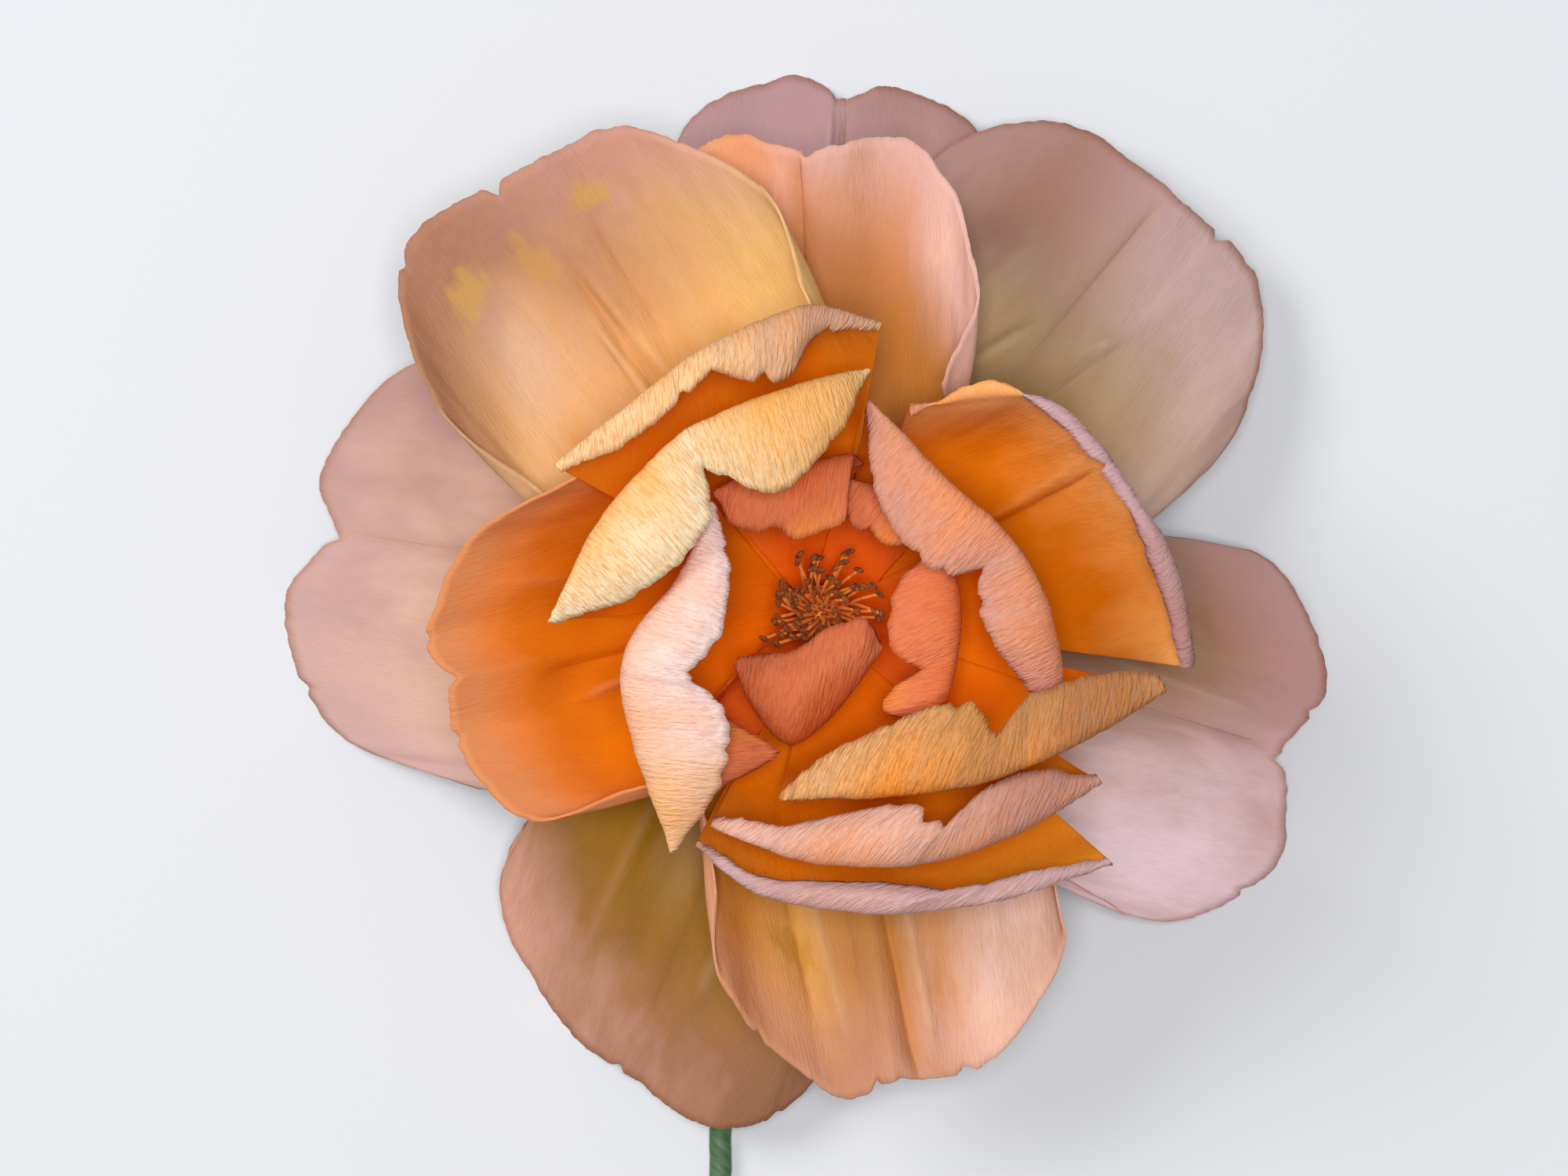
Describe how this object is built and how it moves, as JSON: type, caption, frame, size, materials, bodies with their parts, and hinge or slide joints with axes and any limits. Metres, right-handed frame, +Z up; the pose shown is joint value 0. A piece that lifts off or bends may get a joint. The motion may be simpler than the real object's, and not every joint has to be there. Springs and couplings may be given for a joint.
{
  "type": "paper rose",
  "caption": "Open garden rose of crepe paper with cupped, rolled and notched petals, thread stamens and a green wrapped wire stem bent flat so that it lies face up.",
  "frame": {"origin": "middle of the rose's footprint, flower and stem together, on the surface that it lies on", "axes": "+Z up along the flower's axis, out of its face; the stem runs along -Y"},
  "size_m": [0.1318, 0.2074, 0.0597],
  "materials": {
    "coral_paper": "matte crepe",
    "orange_paper": "matte crepe",
    "apricot_paper": "matte crepe",
    "peach_paper": "matte crepe",
    "stamen_thread": "matte thread",
    "core_paper": "matte",
    "green_paper": "matte crepe",
    "wire": "drawn"
  },
  "bodies": {
    "root": {"centre_petal_front": "coral_paper", "centre_petal_right": "coral_paper", "centre_petal_upper_right": "coral_paper", "centre_petal_upper": "coral_paper", "centre_petal_lower_left": "coral_paper", "cup_petal_right": "orange_paper", "cup_petal_lower_right": "orange_paper", "cup_petal_lower": "orange_paper", "cup_petal_bottom": "orange_paper", "cup_petal_left": "orange_paper", "cup_petal_upper": "orange_paper", "cup_petal_top": "orange_paper", "middle_petal_right": "apricot_paper", "middle_petal_left": "apricot_paper", "middle_petal_upper_left": "apricot_paper", "middle_petal_lower": "apricot_paper", "middle_petal_top": "apricot_paper", "outer_petal_upper_right": "peach_paper", "outer_petal_top": "peach_paper", "outer_petal_left": "peach_paper", "outer_petal_lower_left": "peach_paper", "outer_petal_right": "peach_paper", "stamens": "stamen_thread", "flower_core": "core_paper", "calyx_cup": "green_paper", "sepal_1": "green_paper", "sepal_2": "green_paper", "sepal_3": "green_paper", "sepal_4": "green_paper", "sepal_5": "green_paper", "stem_wrap": "green_paper", "stem_wire": "wire"}
  },
  "joints": []
}
